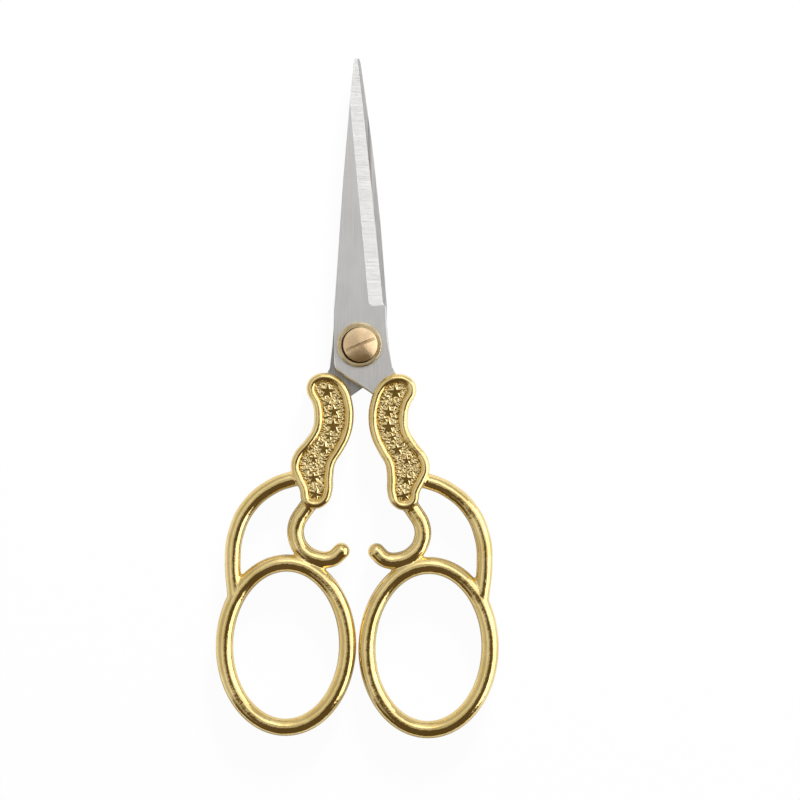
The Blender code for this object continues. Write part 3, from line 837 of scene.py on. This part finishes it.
def turned_brass(name, pale, deep, lathe, depth):
    """Brass with rings round the pivot, a lathe's feed apart and a depth deep."""
    metal, shader, place = new_metal(name)
    from_axis = place.vector("SUBTRACT", {1: PIVOT})
    flat = from_axis.vector("MULTIPLY", {1: (1.0, 1.0, 0.0)})
    radius = flat.vector("LENGTH", {}, "Value")
    drift = grained(place, LATHE_DRIFT, 2.0)
    grooves = (radius * (math.tau / lathe) + drift * LATHE_WANDER).sine()
    spots = grained(place, TARNISH, 2.0)
    feed(
        shader,
        Base_Color=spots.ease(*BRASS_TONES).between(deep, pale),
        Roughness=spots.span(*TURNED_ROUGHNESS),
        Normal=raised(grooves * 0.5 + 0.5, 1.0, depth),
    )
    return metal


def matt_brass(name, tone):
    """Matt brass in a tone and up to half as pale again: the sawn floor of the slot, and the painted
    shade on the slot's far wall and in the washer's recess.
    """
    metal, shader, place = new_metal(name)
    marks = grained(place, MATT_MARKS, 3.0)
    pale = [share * MATT_SPREAD for share in tone[:3]] + [1.0]
    feed(shader, Base_Color=marks.between(tone, pale), Roughness=marks.span(*MATT_ROUGHNESS))
    return metal


def turned(shape, profile):
    """Spins a profile of (radius, height) points round the Z axis."""
    corners = [shape.verts.new((radius, 0.0, height)) for radius, height in profile]
    edges = [shape.edges.new(pair) for pair in zip(corners, corners[1:])]
    bmesh.ops.spin(
        shape,
        geom=corners + edges,
        cent=(0.0, 0.0, 0.0),
        axis=(0.0, 0.0, 1.0),
        angle=math.tau,
        steps=TURNS,
        use_merge=True,
    )
    bmesh.ops.remove_doubles(shape, verts=shape.verts, dist=MERGE)


def screw_profile():
    """From the crown over the dome, down the shank and round the peened end to the axis."""
    head_edge = HEAD_SEAT + SCREW_HEAD_EDGE
    radius = SCREW_HEAD / 2
    dome = (radius ** 2 + SCREW_DOME ** 2) / (2 * SCREW_DOME)
    rise = math.degrees(math.asin(radius / dome))
    crown = arc((0.0, head_edge + SCREW_DOME - dome), dome, 90, 90 - rise, DOME_STEPS)
    under = -OUTER_FACE - STACK_CLEARANCE
    end = SCREW_END / 2
    peened = arc((end - SCREW_END_HEIGHT, under), SCREW_END_HEIGHT, 0, -90, PEEN_STEPS)
    shank = [(radius, HEAD_SEAT), (SCREW_SHANK / 2, HEAD_SEAT), (SCREW_SHANK / 2, under)]
    return crown + shank + peened + [(0.0, under - SCREW_END_HEIGHT)]


def cut_slot(piece):
    """Saws the driver slot across the dome and breaks its arrises."""
    top = HEAD_SEAT + SCREW_HEAD_EDGE + SCREW_DOME
    saw = bmesh.new()
    bmesh.ops.create_cube(saw, size=1.0)
    blade = (
        Matrix.Translation(PIVOT)
        @ Matrix.Rotation(SLOT_ANGLE, 4, "Z")
        @ Matrix.Translation((0.0, 0.0, top))
        @ Matrix.Diagonal((SCREW_HEAD * 1.5, SLOT_WIDTH, SLOT_DEPTH * 2, 1.0))
    )
    tool = set_down("saw", saw, blade)
    slot = piece.modifiers.new("slot", "BOOLEAN")
    slot.solver = "EXACT"
    slot.object = tool
    lips = piece.modifiers.new("slot_lips", "BEVEL")
    lips.width = SLOT_ARRIS / PER_METRE
    lips.segments = 2
    lips.limit_method = "ANGLE"
    lips.angle_limit = LIP_CORNER
    weld = piece.modifiers.new("weld", "WELD")
    weld.merge_threshold = MERGE / PER_METRE
    view = bpy.context.evaluated_depsgraph_get()
    mesh = bpy.data.meshes.new_from_object(piece.evaluated_get(view))
    piece.modifiers.clear()
    piece.data = mesh
    bpy.data.objects.remove(tool, do_unlink=True)


shape = bmesh.new()
turned(shape, screw_profile())
screw = set_down("pivot_screw_turned", shape, Matrix.Translation(PIVOT))
cut_slot(screw)
screw.data.materials.append(
    turned_brass("turned_brass", BRASS_PALE, BRASS_DEEP, LATHE_MARKS, LATHE_DEPTH)
)
screw.data.materials.append(matt_brass("sawn_brass", SAWN_BRASS))
# A near-black brass that paints shade on the slot's far wall and in the washer's recess.
painted_shade_metal = matt_brass("painted_shade_brass", PAINTED_SHADE_BROWN)
screw.data.materials.append(painted_shade_metal)
crown = max(corner.co.z for corner in screw.data.vertices)
across_slot = Vector((-math.sin(SLOT_ANGLE), math.cos(SLOT_ANGLE), 0.0))
for face in screw.data.polygons:
    depth = (crown - face.center.z) * PER_METRE
    aside = (face.center * PER_METRE - PIVOT).dot(across_slot)
    if face.normal.z > LEVEL and abs(depth - SLOT_DEPTH) < TOUCHING:
        face.material_index = 1
    # The wall of the slot that faces away from the light takes the painted shade.
    elif abs(aside) < SLOT_WIDTH / 2 + TOUCHING and face.normal.dot(across_slot) < FAR_WALL:
        face.material_index = 2
screw.data.shade_smooth()
screw.data.set_sharp_from_angle(angle=SMOOTH_OVER)
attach(screw, "back_half")
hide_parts("pivot_screw")

# Washer. A brass ring turned with rounded rims and a shallow recess for the screw's head, lying
# loose round the shank, a little to one side. It is duller than the screw. Its recess, set off to
# the lower left of the head, is painted near black as the head's painted shadow.
WASHER_DIAMETER = 8.15
WASHER_ROUNDING = 0.20
ROUNDING_STEPS = 6
WASHER_SHIFT = 0.20
WASHER_HOLE = 4.00
WASHER_SEAT = 3.30
WASHER_STEP = 0.42
RECESS_DROP = 0.12
WASHER_MARKS = 0.22
WASHER_MARK_DEPTH = 0.010
WASHER_PALE = (0.820, 0.670, 0.400, 1.0)
WASHER_DEEP = (0.700, 0.550, 0.310, 1.0)

bottom = OUTER_FACE + STACK_CLEARANCE
top = bottom + WASHER_THICKNESS
outer = WASHER_DIAMETER / 2
inner = WASHER_HOLE / 2
rim = outer - WASHER_ROUNDING
high = arc((rim, top - WASHER_ROUNDING), WASHER_ROUNDING, 90, 0, ROUNDING_STEPS)
low = arc((rim, bottom + WASHER_ROUNDING), WASHER_ROUNDING, 0, -90, ROUNDING_STEPS)
shape = bmesh.new()
step = [(inner, top - WASHER_STEP), (WASHER_SEAT, top - WASHER_STEP), (WASHER_SEAT, top)]
turned(shape, step + high + low + [(inner, bottom), (inner, top - WASHER_STEP)])
recess = {corner for corner in shape.verts if corner.co.xy.length < WASHER_SEAT + TOUCHING}
bmesh.ops.translate(shape, verts=list(recess), vec=(0.0, -RECESS_DROP, 0.0))
# The recess faces take the near-black brass: a painted shadow of the head, showing at its lower left.
for face in shape.faces:
    face.material_index = 1 if all(corner in recess for corner in face.verts) else 0
washer = set_down(
    "screw_washer_turned", shape, Matrix.Translation(PIVOT - Vector((WASHER_SHIFT, 0.0, 0.0)))
)
washer.data.materials.append(
    turned_brass("washer_brass", WASHER_PALE, WASHER_DEEP, WASHER_MARKS, WASHER_MARK_DEPTH)
)
washer.data.materials.append(painted_shade_metal)
washer.data.shade_smooth()
washer.data.set_sharp_from_angle(angle=SMOOTH_OVER)
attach(washer, "back_half")
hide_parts("screw_washer")

# Table. A matt board under the scissors, grey where light falls on it, so that it keeps their soft
# shadow. It shows white to the camera and through glass, and a dimmer white in the metal.
TABLE_SIZE = 3.0
TABLE_GREY = (0.320, 0.320, 0.320, 1.0)
TABLE_GLOW = 0.965
GLOW_IN_METAL = 0.300

shape = bmesh.new()
bmesh.ops.create_grid(shape, x_segments=1, y_segments=1, size=TABLE_SIZE * PER_METRE / 2)
table = set_down("table", shape)
board = bpy.data.materials.new("white_board")
board.use_nodes = True
matt = board.node_tree.nodes["Principled BSDF"]
matt.inputs["Base Color"].default_value = TABLE_GREY
matt.inputs["Roughness"].default_value = 1.0
matt.inputs["Specular IOR Level"].default_value = 0.0
surface = board.node_tree.nodes["Material Output"].inputs["Surface"]
start = Signal(board.node_tree)
seen = start.node("LightPath", output="Is Camera Ray")
through = start.node("LightPath", output="Is Transmission Ray")
mirrored = start.node("LightPath", output="Is Glossy Ray")
white = start.node("Emission", {}, {"Color": (1.0, 1.0, 1.0, 1.0), "Strength": 1.0})
share = (seen + through) * TABLE_GLOW + mirrored * GLOW_IN_METAL
mixed = start.node("MixShader", {}, {0: share, 1: Signal(board.node_tree, matt.outputs[0]), 2: white})
board.node_tree.links.new(mixed.output, surface)
table.data.materials.append(board)

# Studio. A pale tent, open and dark towards the rings, with a large soft box to the right, smaller
# ones beside it and beyond the tips, and a faint one to the left. A box has its angles from overhead
# and round from the right, half its width and height and its soft edge in degrees, and its strength.
TENT_BROWN = (1.000, 0.720, 0.390, 1.0)
TENT_WHITE = (1.000, 1.000, 1.000, 1.0)
TENT_COLOURS = (0.08, 0.48)
PALE_SIDE = Vector((-0.545, 0.839, 0.0))
PALE_SIDE_EDGE = (-0.10, -0.02)
OPEN_GLOW = 0.115
TENT_GLOW = 0.43
SKIRT_GLOW = 0.16
SKIRT_HEIGHT = 0.45
SOFT_BOXES = (
    (67, -2, 32, 20, 6, 1.90),
    (33, 44, 27, 11, 7, 0.85),
    (50, 88, 10, 20, 8, 0.35),
    (28, 165, 45, 9, 7, 0.26),
)
OVERHEAD = Vector((0.0, 0.0, 1.0))
GRAZING = 0.001
world = bpy.data.worlds.new("studio")
bpy.context.scene.world = world
world.use_nodes = True
sky = world.node_tree
backing = sky.nodes["Background"]
look = Signal(sky).node("TexCoord", output="Generated")


def facing(direction):
    """How far a ray points along a direction: the cosine of the angle between them."""
    return look.vector("DOT_PRODUCT", {1: direction}, "Value")


def soft_box(from_overhead, round_from_right, half_wide, half_tall, edge, strength):
    """The light from one soft box: its strength on its face, and nothing outside."""
    tilt = math.radians(from_overhead)
    turn = math.radians(round_from_right)
    towards = Vector((math.sin(tilt) * math.cos(turn), math.sin(tilt) * math.sin(turn), math.cos(tilt)))
    across = Vector((-math.sin(turn), math.cos(turn), 0.0))
    up = towards.cross(across)
    ahead = facing(towards).at_least(GRAZING)
    wide = (facing(across) / ahead).absolute()
    tall = (facing(up) / ahead).absolute()
    limit_wide = math.tan(math.radians(half_wide))
    limit_tall = math.tan(math.radians(half_tall))
    soft = math.tan(math.radians(edge))
    face = wide.ease(limit_wide + soft, limit_wide) * tall.ease(limit_tall + soft, limit_tall)
    return face * strength


skirt = facing(OVERHEAD).ease(SKIRT_HEIGHT, 0.0) * SKIRT_GLOW
light = facing(PALE_SIDE).ease(*PALE_SIDE_EDGE) * (skirt + TENT_GLOW) + OPEN_GLOW
for box in SOFT_BOXES:
    light = light + soft_box(*box)
colour = light.ease(*TENT_COLOURS).between(TENT_BROWN, TENT_WHITE)
sky.links.new(light.output, backing.inputs["Strength"])
sky.links.new(colour.output, backing.inputs["Color"])

# Lamp. Low beyond the tips, and linked to the table alone, which then has the scissors' shadows on
# it for the metal to mirror. It adds no light to the scissors themselves.
LAMP_POWER = 46.0
LAMP_SIZE = 0.20
LAMP_DISTANCE = 0.75
TOWARDS_LAMP = Vector((0.25, 0.92, 0.31))
lamp_face = bpy.data.lights.new("table_lamp", "AREA")
lamp_face.shape = "SQUARE"
lamp_face.size = LAMP_SIZE
lamp_face.energy = LAMP_POWER
lamp = bpy.data.objects.new("table_lamp", lamp_face)
lamp.location = TOWARDS_LAMP * LAMP_DISTANCE
lamp.rotation_euler = TOWARDS_LAMP.to_track_quat("Z", "Y").to_euler()
bpy.context.scene.collection.objects.link(lamp)
lit = bpy.data.collections.new("lit_by_table_lamp")
lit.objects.link(table)
lamp.light_linking.receiver_collection = lit

# Camera. It looks straight down from above the scissors, which lie a little to the left of the
# middle of its view.
CAMERA_PLACE = (0.00784, -0.00030, 0.410)
FOCAL_LENGTH = 100.0
SENSOR_WIDTH = 36.0
lens = bpy.data.cameras.new("camera")
lens.lens = FOCAL_LENGTH
lens.sensor_width = SENSOR_WIDTH
camera = bpy.data.objects.new("camera", lens)
camera.location = CAMERA_PLACE
bpy.context.scene.collection.objects.link(camera)
bpy.context.scene.camera = camera
bpy.context.scene.view_settings.view_transform = "Standard"
